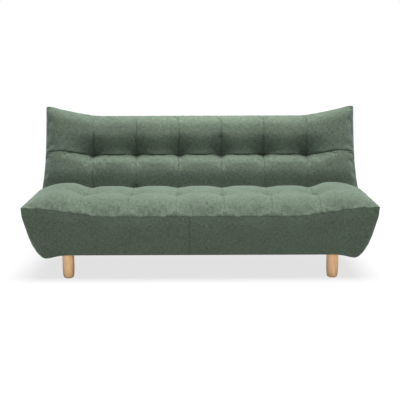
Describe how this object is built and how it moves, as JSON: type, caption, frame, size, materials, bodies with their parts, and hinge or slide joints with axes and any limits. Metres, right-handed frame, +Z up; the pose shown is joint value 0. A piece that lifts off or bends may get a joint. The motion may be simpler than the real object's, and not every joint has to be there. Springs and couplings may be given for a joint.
{
  "type": "futon sofa bed",
  "caption": "Click-clack futon sofa bed: a tufted upholstered seat and a reclining one-piece back with pointed top corners, on turned wooden legs.",
  "frame": {"origin": "under the middle of the sofa's bounding box, on the floor", "axes": "+X along the sofa to the right as seen from the front, +Y to the rear, +Z up; the seat faces -Y"},
  "size_m": [1.83, 0.8588, 0.852],
  "materials": {
    "fabric": "woven, matt",
    "foam": "matt",
    "dust_cloth": "matt",
    "twine": "matt",
    "spring_steel": "satin",
    "black_steel": "satin black",
    "bright_steel": "zinc plated",
    "rubber": "matt",
    "nylon": "satin",
    "leg_wood": "clear varnish, satin",
    "frame_wood": "sawn, unfinished"
  },
  "bodies": {
    "base": {"seat_cover": "fabric", "seat_foam": "foam", "seat_dust_cloth": "dust_cloth", "seat_tuft_ties": "twine", "seat_front_rail": "frame_wood", "seat_rear_rail": "frame_wood", "seat_side_rail_left": "frame_wood", "seat_side_rail_right": "frame_wood", "seat_cross_rails": "frame_wood", "seat_corner_blocks": "frame_wood", "seat_springs": "spring_steel", "seat_spring_clips": "black_steel", "leg_front_left": "leg_wood", "leg_front_right": "leg_wood", "leg_rear_left": "leg_wood", "leg_rear_right": "leg_wood", "leg_plates": "black_steel", "leg_bolts": "bright_steel", "foot_glides": "nylon", "support_arm_left": "black_steel", "support_arm_right": "black_steel", "rear_post_left": "black_steel", "rear_post_right": "black_steel", "rear_cross_tube": "black_steel", "rest_pads": "rubber", "arm_bolts": "bright_steel", "hinge_seat_plate_left": "black_steel", "hinge_seat_plate_right": "black_steel", "pivot_bolt_left": "bright_steel", "pivot_bolt_right": "bright_steel", "pivot_washers": "nylon", "pawl_pins": "bright_steel", "pawl_spring_left": "spring_steel", "pawl_spring_right": "spring_steel"},
    "backrest": {"back_cover": "fabric", "back_foam": "foam", "back_panel": "fabric", "back_tuft_ties": "twine", "back_bottom_rail": "frame_wood", "back_top_rail": "frame_wood", "back_side_rail_left": "frame_wood", "back_side_rail_right": "frame_wood", "back_stretchers": "frame_wood", "back_springs": "spring_steel", "back_spring_clips": "black_steel", "hinge_back_plate_left": "black_steel", "hinge_back_plate_right": "black_steel", "back_plate_bolts": "bright_steel"},
    "pawl_left": {"pawl_left": "bright_steel"},
    "pawl_right": {"pawl_right": "bright_steel"}
  },
  "joints": [
    {"name": "back_recline", "type": "hinge", "parent": "base", "child": "backrest", "pos_m": [0, 0.20082, 0.325], "axis": [1, 0, 0], "range_deg": [-72, 10]},
    {"name": "pawl_left_turn", "type": "hinge", "parent": "base", "child": "pawl_left", "pos_m": [-0.787, 0.13882, 0.285], "axis": [1, 0, 0], "range_deg": [-36.5, 5.5], "deforming": ["pawl_spring_left"]},
    {"name": "pawl_right_turn", "type": "hinge", "parent": "base", "child": "pawl_right", "pos_m": [0.787, 0.13882, 0.285], "axis": [1, 0, 0], "range_deg": [-36.5, 5.5], "deforming": ["pawl_spring_right"]}
  ],
  "couplings": [
    {"joint": "pawl_left_turn", "follows": "back_recline", "ratio": 0.5},
    {"joint": "pawl_right_turn", "follows": "back_recline", "ratio": 0.5}
  ]
}
